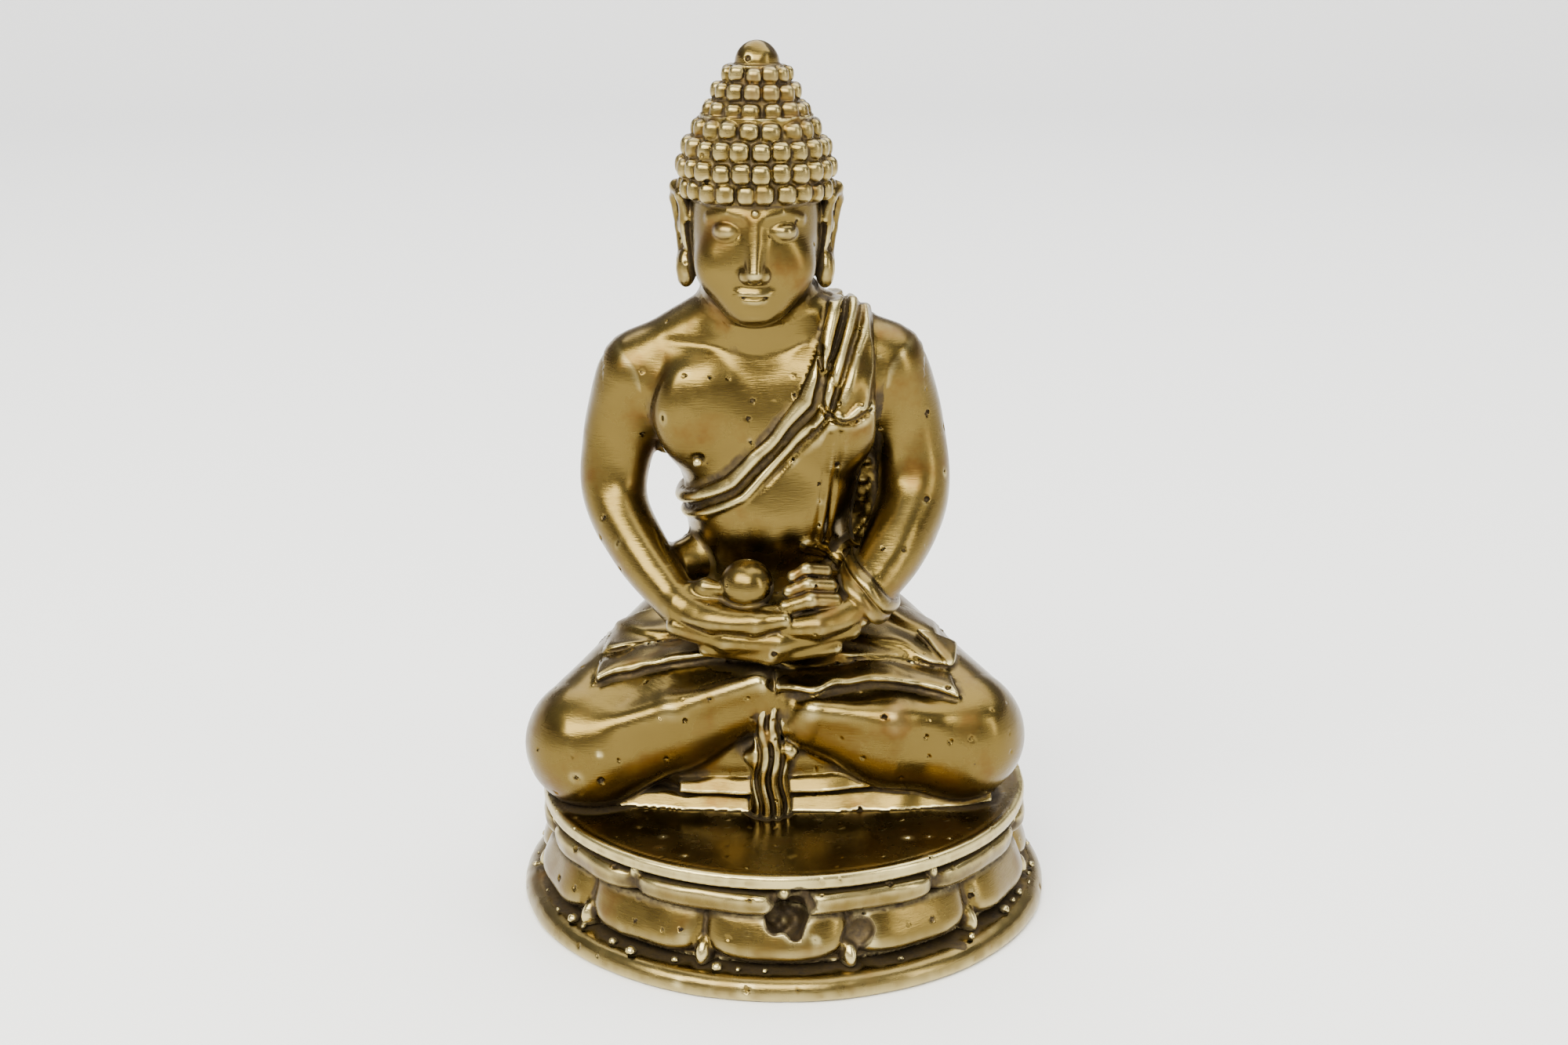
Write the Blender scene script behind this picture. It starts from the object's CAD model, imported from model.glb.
"""Looks of a small hand-cast brass Buddha on a double lotus base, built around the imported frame.

Every piece of brass is sculpted as a distance field: a function that is negative inside the metal and
positive outside. The fields are turned into closed meshes, one for each CAD node, that meet in the creases.
Field lengths are millimetres in the frame's own axes, scaled by the base's width; meshes are in metres.
"""

import math

import bpy
import numpy as np
from mathutils import Euler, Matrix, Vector


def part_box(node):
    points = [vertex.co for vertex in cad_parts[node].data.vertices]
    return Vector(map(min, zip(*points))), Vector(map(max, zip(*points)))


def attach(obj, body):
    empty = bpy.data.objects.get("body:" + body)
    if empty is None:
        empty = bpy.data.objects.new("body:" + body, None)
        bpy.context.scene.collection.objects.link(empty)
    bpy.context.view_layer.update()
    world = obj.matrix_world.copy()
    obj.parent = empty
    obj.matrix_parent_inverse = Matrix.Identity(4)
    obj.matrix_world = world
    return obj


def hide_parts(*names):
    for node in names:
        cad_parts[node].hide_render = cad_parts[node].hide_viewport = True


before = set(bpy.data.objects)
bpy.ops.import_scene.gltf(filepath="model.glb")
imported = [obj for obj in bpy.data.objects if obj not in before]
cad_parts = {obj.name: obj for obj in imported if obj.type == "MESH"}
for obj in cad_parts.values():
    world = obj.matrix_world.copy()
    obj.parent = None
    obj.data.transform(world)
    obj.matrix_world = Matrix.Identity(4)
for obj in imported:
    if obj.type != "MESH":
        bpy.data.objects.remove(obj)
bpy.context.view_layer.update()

# Scale: the fields are written for a base this wide, in millimetres
DESIGN_WIDTH = 66.0


def node_box(name):
    """A node's lowest and highest corners, in metres."""
    low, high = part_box(name)
    return np.array(low, float), np.array(high, float)


plinth_low, plinth_high = node_box("plinth_ring")
METRES = (plinth_high[0] - plinth_low[0]) / DESIGN_WIDTH


def field_box(name):
    """A node's corners in field millimetres."""
    low, high = node_box(name)
    return low / METRES, high / METRES


# Base tiers, read from the frame
PLINTH_TOP = field_box("plinth_ring")[1][2]
LOWER_TOP = field_box("lower_lotus")[1][2]
UPPER_TOP = field_box("upper_lotus")[1][2]
SEAT_TOP = field_box("seat_slab")[1][2]
PLINTH_RADIUS = field_box("plinth_ring")[1][0]
SEAT_RADIUS = field_box("seat_slab")[1][0]
HOLLOW_RADIUS = 23.0
SCREW_RADIUS = 2.0
LOWER_PETALS = 11
UPPER_PETALS = 10
FRONT = -math.pi / 2

# How the figure stands on the base, as in the frame
FIGURE_SHIFT = -1.0
FIGURE_LEAN = math.radians(1.6)
HEAD_TIP = math.radians(2.2)
HEAD_TIP_HEIGHT = 93.0

# Mesh steps in millimetres, finest where the detail is smallest
COARSE = 1.0
BODY_STEP = 0.30 * COARSE
HAND_STEP = 0.17 * COARSE
FACE_STEP = 0.15 * COARSE
BASE_STEP = 0.34 * COARSE
CULL_MARGIN = 4.5
ROOM = 3.4
FAR = 4.5
CREASE = 0.35

rng = np.random.default_rng(7)


# ---------------------------------------------------------------- field tools


def vec(*numbers):
    return np.array(numbers, dtype=np.float32)


def ball(p, centre, radius):
    return np.linalg.norm(p - vec(*centre), axis=1) - radius


def bone(p, start, end, start_radius, end_radius):
    """A round bar that tapers from one radius to another."""
    a, b = vec(*start), vec(*end)
    along = b - a
    t = np.clip((p - a) @ along / (along @ along), 0, 1)
    away = np.linalg.norm(p - a - t[:, None] * along, axis=1)
    return away - start_radius - (end_radius - start_radius) * t


def chain(p, points, radii, soft=0.0):
    """Bars joined end to end."""
    d = None
    for a, b, ra, rb in zip(points, points[1:], radii, radii[1:]):
        link = bone(p, a, b, ra, rb)
        d = link if d is None else (join(d, link, soft) if soft else np.minimum(d, link))
    return d


def egg(p, centre, radii, turn=None):
    """A ball stretched along three axes, which turn (radians about X, Y, Z) may rotate."""
    q = p - vec(*centre)
    if turn is not None:
        q = q @ np.array(Euler(turn).to_matrix(), dtype=np.float32)
    r = vec(*radii)
    k0 = np.linalg.norm(q / r, axis=1)
    k1 = np.linalg.norm(q / (r * r), axis=1) + 1e-6
    return k0 * (k0 - 1) / k1


def join(a, b, soft):
    """Two shapes as one, with a fillet of about soft between them."""
    h = np.clip(0.5 + 0.5 * (b - a) / soft, 0, 1)
    return b + (a - b) * h - soft * h * (1 - h)


def cut(a, b, soft):
    """The first shape where it is inside the second as well, with its new edge rounded."""
    return -join(-a, -b, soft)


def carve(a, tool, soft):
    """The first shape with the tool taken out of it."""
    return cut(a, -tool, soft)


def bump(distance, width):
    """1 on a line, falling smoothly to 0 at about twice the width."""
    return np.exp(-((distance / width) ** 2))


def step(x, low, high):
    """0 below low and 1 above high, with a smooth rise between."""
    t = np.clip((x - low) / (high - low), 0, 1)
    return t * t * (3 - 2 * t)


def smooth_curve(x, knots, values):
    """A smooth curve through the values at the knots, level outside them."""
    knots, values = np.array(knots, float), np.array(values, float)
    slopes = np.gradient(values, knots)
    x = np.clip(x, knots[0], knots[-1])
    i = np.clip(np.searchsorted(knots, x, side="right") - 1, 0, len(knots) - 2)
    width = knots[i + 1] - knots[i]
    t = (x - knots[i]) / width
    t2, t3 = t * t, t * t * t
    rise = (2 * t3 - 3 * t2 + 1) * values[i] + (3 * t2 - 2 * t3) * values[i + 1]
    return rise + width * ((t3 - 2 * t2 + t) * slopes[i] + (t3 - t2) * slopes[i + 1])


def signed_side(x, z, points):
    """Distance from a line drawn across the front, positive below and to the right of it."""
    best = np.full(len(x), 1e3, dtype=np.float32)
    side = np.ones(len(x), dtype=np.float32)
    for (ax, az), (bx, bz) in zip(points, points[1:]):
        ux, uz = bx - ax, bz - az
        t = np.clip(((x - ax) * ux + (z - az) * uz) / (ux * ux + uz * uz), 0, 1)
        dx, dz = x - ax - t * ux, z - az - t * uz
        d = np.hypot(dx, dz)
        nearer = d < best
        best = np.where(nearer, d, best)
        side = np.where(nearer, np.sign(dz * ux - dx * uz), side)
    return best * side


def front_line(x, z, points):
    """Distance from a line drawn across the front, without a side."""
    return np.abs(signed_side(x, z, points))


LATTICE = 32
lattice = rng.uniform(-1, 1, (LATTICE, LATTICE, LATTICE)).astype(np.float32)


def wobble(p, size, seed=0.0):
    """Smooth random relief between -1 and 1, with bumps of about the given size."""
    q = p / size + 100.0 + seed
    cell = np.floor(q).astype(np.int32)
    f = (q - cell).astype(np.float32)
    u = f * f * (3 - 2 * f)
    total = np.zeros(len(p), dtype=np.float32)
    for dx in (0, 1):
        wx = u[:, 0] if dx else 1 - u[:, 0]
        ix = (cell[:, 0] + dx) % LATTICE
        for dy in (0, 1):
            wy = u[:, 1] if dy else 1 - u[:, 1]
            iy = (cell[:, 1] + dy) % LATTICE
            for dz in (0, 1):
                wz = u[:, 2] if dz else 1 - u[:, 2]
                iz = (cell[:, 2] + dz) % LATTICE
                total += wx * wy * wz * lattice[ix, iy, iz]
    return total


PIT_CELL = 2.6
pit_offsets = rng.uniform(0.35, 0.65, (LATTICE, LATTICE, LATTICE, 3)).astype(np.float32)
pit_radii = (0.12 + 0.26 * rng.uniform(0, 1, (LATTICE, LATTICE, LATTICE)) ** 2.5).astype(np.float32)


def pits(p):
    """Small round casting pits scattered through the metal."""
    q = p / PIT_CELL + 100.0
    cell = np.floor(q).astype(np.int32)
    i, j, k = (cell % LATTICE).T
    centre = (cell + pit_offsets[i, j, k] - 100.0) * PIT_CELL
    return np.linalg.norm(p - centre, axis=1) - pit_radii[i, j, k]


# ---------------------------------------------------------------- the figure's frames


def to_figure(p):
    """Points as the figure's own upright frame has them."""
    x, z = p[:, 0] - FIGURE_SHIFT, p[:, 2] - SEAT_TOP
    c, s = math.cos(FIGURE_LEAN), math.sin(FIGURE_LEAN)
    return np.stack([x * c + z * s, p[:, 1], z * c - x * s + SEAT_TOP], axis=1).astype(np.float32)


def to_head(q):
    """Points of the figure's frame as the head's own frame has them."""
    x, z = q[:, 0], q[:, 2] - HEAD_TIP_HEIGHT
    c, s = math.cos(HEAD_TIP), math.sin(HEAD_TIP)
    return np.stack([x * c - z * s, q[:, 1], x * s + z * c + HEAD_TIP_HEIGHT], axis=1).astype(np.float32)


# ---------------------------------------------------------------- trunk and robe

TRUNK_HEIGHTS = (24, 34, 40, 45, 50, 55, 60, 65, 69, 72, 75)
TRUNK_HALF_WIDTHS = (13.5, 12.0, 10.2, 9.0, 9.6, 11.0, 12.4, 13.6, 13.2, 9.6, 5.8)
TRUNK_HALF_DEPTHS = (9.5, 8.6, 7.2, 6.6, 6.9, 7.4, 7.7, 7.2, 6.2, 5.4, 5.0)
TRUNK_CENTRES = (7.0, 5.4, 4.4, 3.8, 3.4, 3.2, 3.2, 3.6, 3.9, 3.5, 3.0)
ROBE_EDGE = ((8.2, 76.0), (6.6, 70.1), (4.1, 64.0), (0.6, 59.8), (-4.8, 54.5), (-9.0, 52.2), (-16.0, 50.0))
ROBE_INNER = 0.8


def trunk(q):
    """Chest, belly and hips."""
    x, y, z = q.T
    width = smooth_curve(z, TRUNK_HEIGHTS, TRUNK_HALF_WIDTHS)
    depth = smooth_curve(z, TRUNK_HEIGHTS, TRUNK_HALF_DEPTHS)
    centre = smooth_curve(z, TRUNK_HEIGHTS, TRUNK_CENTRES)
    k = (np.abs(x / width) ** 2.3 + np.abs((y - centre) / depth) ** 2.3) ** (1 / 2.3)
    d = (k - 1) * np.minimum(width, depth)
    d = np.maximum(d, z - 75.5)
    for side in (-1, 1):
        d = join(d, egg(q, (side * 6.9, -0.6, 61.6), (6.6, 4.2, 7.4), (0.1, 0.0, -side * 0.35)), 2.2)
        d = join(d, bone(q, (side * 3.2, 3.4, 72.6), (side * 14.0, 4.2, 66.6), 4.2, 4.2), 3.0)
    d = join(d, egg(q, (0, -0.6, 49.0), (6.8, 4.4, 5.6)), 3.0)
    return d


def bare_chest(q):
    """The trunk with the marks of a bare chest."""
    d = trunk(q)
    d = join(d, ball(q, (-8.1, -4.3, 56.2), 0.62), 0.35)
    ring = np.abs(np.linalg.norm(q - vec(-8.1, -4.6, 56.2), axis=1) - 0.95)
    d = d + 0.16 * bump(ring, 0.2)
    collar = front_line(q[:, 0], q[:, 2], ((-11.5, 70.2), (-5.0, 69.6), (0, 68.4), (5.0, 69.8)))
    return d + 0.18 * bump(collar, 0.7) * step(-q[:, 1], -1.0, 1.0)


def flap_outline(x, z):
    """The end of the robe folded over the left shoulder, seen from the front."""
    flat = np.stack([x, np.zeros_like(x), z], axis=1)
    return chain(flat, [(9.4, 0, 74.0), (10.4, 0, 68.0), (9.8, 0, 64.2)], [3.4, 3.0, 2.9], 1.0)


def robe(q, body):
    """The outer robe: a folded skin over the trunk, thicker along its rolled edge."""
    x, y, z = q.T
    s = signed_side(x, z, ROBE_EDGE) + 0.22 * wobble(q, 3.1, 3.0)
    front = step(-y, -3.4, -1.6)
    thick = 0.7 + 0.5 * bump(s - 1.0, 0.75) - 0.95 * bump(s - 2.15, 0.36)
    thick += 0.42 * bump(s - 3.1, 0.6) - 0.40 * bump(s - 4.1, 0.4) * step(z, 50.0, 58.0)
    thick += 0.20 * bump(s - 5.2, 0.7) * step(z, 55.0, 62.0)
    flap = flap_outline(x, z)
    over = step(-flap, -0.15, 0.45) * front
    thick += 0.75 * over - 0.75 * bump(flap - 0.35, 0.34) * front * step(z, 56.5, 59.5)
    fold = front_line(x, z, ((7.2, 69.5), (8.6, 64.8), (7.4, 61.2)))
    thick -= 0.40 * bump(fold, 0.35) * over
    hanging = front_line(x, z, ((5.9, 60.6), (7.4, 62.3), (9.6, 61.4), (11.2, 62.8), (12.8, 62.2)))
    thick += 0.55 * bump(hanging, 0.42) * front
    for offset, reach in ((0.0, 0.22), (1.3, 0.15)):
        pleat = front_line(x, z, ((8.9 - offset, 59.5), (7.9 - offset, 52.0), (6.9 - offset, 45.5)))
        thick -= reach * bump(pleat, 0.4) * front
    behind = step(y, 4.0, 6.5)
    tail = np.abs(x - 8.2 + 0.05 * (z - 60)) - 3.4
    thick += 0.65 * behind * step(-tail, -0.2, 0.5) * step(z, 40.5, 41.3)
    tail_crease = bump(np.abs(np.abs(x - 8.2 + 0.05 * (z - 60)) - 1.2), 0.3)
    thick -= 0.28 * behind * step(-tail, 0, 0.5) * tail_crease
    drape = np.sin((z + 0.55 * x) * 1.15 + 0.5 * wobble(q, 7.0, 9.0))
    thick += 0.16 * behind * drape * step(s, 2.0, 6.0)
    outer = body - np.maximum(thick, 0.15)
    shell = np.maximum(outer, -(body + ROBE_INNER))
    limits = np.maximum(np.maximum(0.15 - s, x - 13.1), z - 74.6)
    return cut(shell, limits, 0.3)


# ---------------------------------------------------------------- arms and hands

RIGHT_ARM = (
    ((-15.4, 4.2, 65.0), (-18.0, 4.7, 57.5), (-18.8, 3.0, 50.4), (-15.4, -2.4, 44.6), (-10.4, -8.6, 39.4)),
    (5.2, 4.5, 3.9, 3.5, 2.7),
)
LEFT_ARM = (
    ((15.0, 4.2, 65.0), (17.4, 4.7, 57.5), (17.9, 3.0, 50.0), (15.2, -2.4, 44.4), (10.4, -8.4, 39.2)),
    (5.2, 4.5, 4.4, 4.0, 2.9),
)
WEB_DEPTH = 5.6


def curved(points, radii, parts=9):
    """The same points and radii with smooth ones added between them."""
    knots = range(len(points))
    t = np.linspace(0, len(points) - 1, parts * (len(points) - 1) + 1)
    columns = [smooth_curve(t, knots, column) for column in zip(*points)]
    return list(zip(*columns)), smooth_curve(t, knots, radii)


def arm(q, limb, web, bridge):
    """Upper arm and forearm, with the metal left between the arm and the trunk: a thin web and a bridge."""
    d = chain(q, *curved(*limb), 0.5) + 0.2
    x, z, half_width, half_height = web
    outline = egg(q * vec(1, 0, 1), (x, 0, z), (half_width, 5.0, half_height))
    d = join(d, cut(np.abs(q[:, 1] - WEB_DEPTH) - 1.2, outline, 0.8) + 0.22 * wobble(q, 0.8, 5.0), 0.5)
    return join(d, bone(q, *bridge), 1.0)


def right_arm(q):
    return arm(q, RIGHT_ARM, (-13.8, 61.0, 4.6, 5.4), ((-13.4, -2.4, 42.6), (-7.0, 2.0, 42.6), 2.4, 3.4))


def left_arm(q):
    return arm(q, LEFT_ARM, (13.2, 52.0, 6.4, 10.5), ((13.4, -2.4, 41.6), (7.0, 2.0, 41.6), 2.4, 3.0))


def right_hand(q):
    """The upper hand: a palm under the ball and straight fingers laid towards the left."""
    d = egg(q, (-5.2, -9.6, 39.0), (6.6, 4.6, 1.9), (0, 0.05, -0.25))
    fingers = [(-10.3, -9.0, 39.8), (-6.2, -11.9, 39.0), (-1.6, -13.2, 38.8), (1.6, -13.4, 39.2)]
    outer = chain(q, fingers, [2.2, 1.7, 1.45, 1.15], 0.8)
    inner = chain(q, [(-7.0, -10.2, 40.0), (-2.2, -11.9, 39.6), (1.0, -12.4, 39.9)], [1.4, 1.15, 0.95], 0.6)
    thumb = chain(q, [(-9.6, -8.0, 41.0), (-7.4, -9.6, 42.2), (-5.6, -10.4, 42.2)], [1.5, 1.1, 0.85], 0.5)
    return join(join(join(d, outer, 0.9), inner, 0.35), thumb, 0.8)


def left_hand(q):
    """The lower hand: an open palm whose fingers curl over beside the ball."""
    d = egg(q, (5.6, -9.6, 38.2), (5.8, 4.6, 1.9), (0, -0.05, 0.25))
    rim = chain(q, [(1.8, -12.9, 38.1), (5.6, -12.9, 38.3), (9.6, -10.6, 39.3)], [1.3, 1.45, 1.7], 0.8)
    d = join(d, rim, 0.9)
    for i in range(3):
        lift, back, size = 1.5 * i, 1.2 * i, 0.95 - 0.09 * i
        root = (7.6 - 0.5 * i, -11.2 + back, 40.6 + lift)
        middle = (4.8 - 0.2 * i, -12.6 + back, 41.3 + lift)
        tip = (1.9 + 0.5 * i, -12.6 + back, 40.5 + lift)
        curl = (3.3 + 0.4 * i, -12.2 + back, 39.7 + lift)
        radii = [size + 0.1, size, 0.9 * size, 0.65 * size]
        d = join(d, chain(q, [root, middle, tip, curl], radii, 0.3), 0.25)
    return d


def jewel(q):
    low, high = JEWEL_BOX
    return ball(q, (low + high) / 2, (high[0] - low[0]) / 2)


# ---------------------------------------------------------------- lap, legs and cloth

RIGHT_HEM = ((-25.5, 29.2), (-20.0, 32.0), (-12.0, 33.6), (-5.0, 34.3), (0.2, 33.8))
LEFT_HEM = ((0.2, 30.2), (5.0, 29.9), (10.5, 30.7), (16.0, 30.2), (22.5, 28.6), (26.0, 27.0))
DIP = 0.29
RIGHT_SHIN = ((-21.6, -6.6, 21.4), (-11.0, -8.6, 25.2), (-1.4, -10.4, 28.6))
RIGHT_RIDGE = ((-23.4, -11.8, 24.6), (-12.0, -13.2, 28.3), (-1.6, -13.3, 31.6))
LEFT_SHIN = ((22.0, -6.4, 21.2), (13.6, -8.6, 22.8), (4.4, -10.8, 25.6))
LEFT_RIDGE = ((25.4, -11.0, 24.6), (14.4, -13.4, 26.4), (5.0, -13.6, 28.0))
SASH_LINES = (
    ((4.6, 45.4), (8.0, 43.6), (10.6, 41.0), (12.6, 38.4), (15.4, 36.0), (19.4, 33.6), (21.6, 31.6)),
    ((8.4, 45.2), (11.6, 42.4), (13.8, 39.4), (16.8, 36.8), (20.4, 34.4), (22.4, 32.2)),
)


def legs(q):
    """Thighs, and shins that cross in front, each with a ridge along the bone."""
    d = None
    for side, knee in ((-1, (-22.6, -6.4, 21.9)), (1, (22.7, -6.4, 21.7))):
        thigh = bone(q, (side * 9.6, 8.0, 26.2), knee, 11.0, 7.9)
        d = thigh if d is None else join(d, thigh, 2.5)
    right_ridge = chain(q, RIGHT_RIDGE, [0.9, 0.9, 0.8], 1.0)
    left_ridge = chain(q, LEFT_RIDGE, [1.1, 1.3, 0.8], 1.5)
    right = join(chain(q, RIGHT_SHIN, [7.4, 5.6, 3.7], 2.0), right_ridge, 2.6)
    left = join(chain(q, LEFT_SHIN, [7.5, 6.2, 3.7], 2.0), left_ridge, 3.0)
    lap = egg(q, (0, -1.0, 28.4), (21.5, 11.0, 6.4))
    under = egg(q, (0, -7.4, 20.0), (16.0, 4.5, 6.4))
    d = join(join(d, right, 1.6), left, 1.6)
    seat_back = egg(q, (0, 7.0, 19.5), (10.0, 9.0, 8.0))
    return join(join(join(d, lap, 2.0), under, 0.8), seat_back, 2.0)


def apron(q, under):
    """The cloth laid over the lap, whose hem dips forward across both thighs and parts in the middle."""
    x, y, z = q.T
    wave = 0.28 * wobble(q, 2.4, 11.0)
    right_hem = smooth_curve(x, *zip(*RIGHT_HEM))
    left_hem = smooth_curve(x, *zip(*LEFT_HEM))
    hem = np.where(x < 0.2, right_hem, left_hem) + wave
    above = z + DIP * (y + 13.0) - hem
    rolled = 0.8 * bump(above - 1.0, 1.0) - 0.45 * bump(above - 2.8, 0.5)
    fold = 0.22 * np.sin(above * 2.1 + 0.6 * x + 1.5 * wobble(q, 4.0, 2.0)) * step(above, 1.0, 3.0)
    skin = under - (0.5 + rolled + fold)
    d = np.maximum(cut(skin, -above, 0.7), -(under + 0.7))
    d = carve(d, np.abs(x - 0.3 + 0.3 * wave) - 0.14, 0.25)
    side = np.abs(x) + 0.4 * (z - 31.0) - 21.2 + wave
    d = cut(np.maximum(d, z - 40.0), np.maximum(side, y - 4.0), 0.5)
    waist = [(-11.0, -10.4, 37.8), (-5.0, -12.4, 36.6), (1.0, -13.0, 36.2), (9.4, -11.0, 37.2)]
    roll = chain(q, waist, [1.3, 1.5, 1.6, 1.4], 0.8)
    low_roll = chain(q, [(-7.5, -11.6, 35.4), (0.0, -13.0, 34.8), (7.5, -11.8, 35.2)], [1.0, 1.2, 1.0], 0.8)
    return join(d, join(roll, low_roll, 0.5), 0.6)


def sash(q, under):
    """The two ends of the waist sash, lying over the left wrist and thigh, with a few round beads."""
    x, y, z = q.T
    d = None
    for line, half_width in zip(SASH_LINES, (0.95, 0.8)):
        across = front_line(x, z, line)
        crown = 0.3 * (1 - np.clip(across / half_width, 0, 1) ** 2)
        ribbon = cut(under - 0.75 - crown, across - half_width, 0.4)
        d = ribbon if d is None else join(d, ribbon, 0.2)
    d = np.maximum(d, -(under + 0.6))
    d = np.maximum(d, y - 1.0)
    for place, size in (((10.6, -9.8, 39.9), 0.55), ((10.9, -11.0, 38.0), 0.6), ((9.6, -9.0, 42.0), 0.45)):
        d = join(d, ball(q, place, size), 0.15)
    return d


FAN_LAYERS = ((26.4, -12.9, 2.2), (11.6, -13.4, 4.6))
TOES = (
    ((-2.3, -12.8, 22.0), 1.3),
    ((1.8, -12.9, 22.6), 1.3),
    ((-0.6, -13.1, 24.8), 1.2),
    ((2.0, -12.6, 25.4), 0.9),
)


def fan(q):
    """The pleated hem that spreads on the seat below the shins, and the tail that falls onto it."""
    x, y, z = q.T
    d = np.full(len(q), FAR, dtype=np.float32)
    low = SEAT_TOP - 0.6
    for half_width, front, height in FAN_LAYERS:
        wave = 0.22 * wobble(q, 2.6, height)
        top = SEAT_TOP + height + wave - 0.10 * np.maximum(np.abs(x) - 0.6 * half_width, 0)
        edge = front + wave + 0.004 * x * x * (26.4 / half_width) ** 1.2
        face = 0.8 * (edge + 0.65 * (z - low) - y)
        box = cut(np.maximum(np.abs(x) - half_width, low - z), cut(z - top, face, 0.6), 0.4)
        box = np.maximum(box, y + 3.0)
        d = join(d, box, 0.12)
        low = SEAT_TOP + height + 0.5
    tail = [(-0.6, -12.2, 15.0), (-0.4, -12.6, 21.0), (-0.6, -12.6, 27.0), (-0.8, -12.4, 30.0)]
    column = chain(q, tail, [2.6, 2.2, 1.6, 1.1], 1.0)
    for crease, depth in ((-1.9, 0.5), (-0.5, 0.9), (0.9, 0.6), (2.2, 0.5)):
        column = column + depth * bump(x - crease - 0.25 * np.sin(z * 0.9), 0.28)
    d = join(d, column, 0.25)
    for place, size in TOES:
        d = join(d, ball(q, place, size) + 0.25 * wobble(q, 1.1, 6.0), 0.8)
    return d


# ---------------------------------------------------------------- head

HAIR_LINE = 87.0
HAIR_ROWS = ((88.1, 9.2), (90.4, 9.45), (92.7, 8.8), (94.8, 7.6))
CROWN_ROWS = ((96.8, 6.3), (98.9, 5.3), (100.9, 4.3))
NAPE_ROWS = ((85.8, 9.3), (83.5, 9.2), (81.2, 8.8), (78.9, 8.1))
BEAD = 1.28
HEAD_DEPTH = 0.6
DEEPER = 1.07


HEAD_TOP, CHIN = 94.8, 72.8
EYES = (HEAD_TOP + CHIN) / 2
NOSE_BASE = (EYES + CHIN) / 2
MOUTH = NOSE_BASE - (NOSE_BASE - CHIN) / 3
EYE_WIDTH = 2 * 7.7 / 5


def eye(h, d, side):
    """A closed eye one eye width from the middle, in its socket, under an arched brow."""
    x = side * EYE_WIDTH
    d = carve(d, egg(h, (x, -10.0, EYES + 0.3), (2.5, 1.9, 1.5), (0, side * 0.12, 0)), 1.2)
    d = join(d, egg(h, (x, -6.75, EYES), (0.56 * EYE_WIDTH, 1.6, 1.25)), 0.35)
    brow = [(side * 1.3, -7.8, EYES + 1.75), (side * 3.0, -7.3, EYES + 2.2), (side * 5.2, -5.7, EYES + 1.4)]
    d = join(d, chain(h, brow, [0.2, 0.3, 0.15]), 1.0)
    slit = [(x - 1.6, -8.0, EYES - 0.2), (x - 0.8, -8.4, EYES - 0.55), (x, -8.5, EYES - 0.68)]
    slit += [(x + 0.8, -8.4, EYES - 0.55), (x + 1.6, -8.0, EYES - 0.2)]
    return carve(d, chain(h, slit, [0.05, 0.1, 0.12, 0.1, 0.05]), 0.25)


def nose(h, d):
    """A straight nose whose tip and nostrils stand on the nose's base line."""
    d = join(d, bone(h, (0, -7.7, EYES + 0.8), (0, -9.4, NOSE_BASE + 1.0), 0.6, 0.95), 1.4)
    for side in (-1, 1):
        d = join(d, ball(h, (side * 1.0, -8.6, NOSE_BASE + 0.7), 0.68), 0.7)
        d = carve(d, ball(h, (side * 0.5, -9.2, NOSE_BASE + 0.1), 0.22), 0.25)
    return d


def lips(h, d):
    """A calm closed mouth."""
    d = join(d, egg(h, (0, -8.2, MOUTH + 0.4), (1.9, 0.85, 0.5)), 0.7)
    d = join(d, egg(h, (0, -8.1, MOUTH - 0.5), (1.6, 0.9, 0.6)), 0.7)
    line = [(-2.1, -8.0, MOUTH + 0.15), (-1.0, -9.0, MOUTH), (0, -9.2, MOUTH - 0.04)]
    line += [(1.0, -9.0, MOUTH), (2.1, -8.0, MOUTH + 0.15)]
    return carve(d, chain(h, line, [0.06, 0.11, 0.12, 0.11, 0.06]), 0.2)


def head(h):
    """Neck and head, with the eyes half way up and the face's other places taken from them."""
    d = egg(h, (0, 0.6, 85.4), (7.7, 8.8, 9.4))
    d = join(d, egg(h, (0, -1.6, 79.6), (6.7, 6.9, 6.6)), 3.0)
    d = join(d, egg(h, (0, -5.6, CHIN + 2.6), (3.6, 3.0, 2.6)), 2.8)
    neck = bone(h, (0, 4.6, 66.5), (0, 1.8, 79.0), 6.2, 6.0)
    for crease in (73.6, 71.9):
        neck = neck + 0.16 * bump(h[:, 2] - crease - 0.035 * h[:, 0] ** 2, 0.3) * step(-h[:, 1], -2.0, 0.0)
    d = join(d, neck, 1.6)
    for side in (-1, 1):
        d = join(d, egg(h, (side * 4.0, -5.2, 79.4), (2.7, 2.5, 3.0)), 2.2)
        d = eye(h, d, side)
    d = lips(h, nose(h, d))
    d = join(d, egg(h, (0, -7.0, CHIN + 1.5), (1.9, 1.5, 1.2)), 0.9)
    return join(d, ball(h, (0, -8.15, EYES + 2.2), 0.42), 0.2)


def ear(h, side):
    """A long ear with a rolled rim and a heavy, slotted lobe."""
    rim = [
        (side * 7.9, -0.9, 84.6),
        (side * 8.7, -0.4, 87.0),
        (side * 9.4, 1.2, 87.9),
        (side * 9.5, 2.6, 86.4),
        (side * 8.9, 2.5, 83.0),
        (side * 8.3, 1.4, 79.8),
    ]
    d = chain(h, rim, [0.6, 0.7, 0.75, 0.75, 0.7, 0.9], 0.4)
    d = join(d, egg(h, (side * 8.0, 0.9, 83.6), (0.8, 2.0, 3.8), (0, side * 0.1, side * 0.3)), 0.5)
    lobe = egg(h, (side * 8.25, 0.6, 78.4), (1.25, 1.7, 2.3))
    lobe = carve(lobe, bone(h, (side * 9.3, 0.4, 79.2), (side * 9.3, 0.4, 77.6), 0.4, 0.5), 0.3)
    return join(d, lobe, 0.6)


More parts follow.
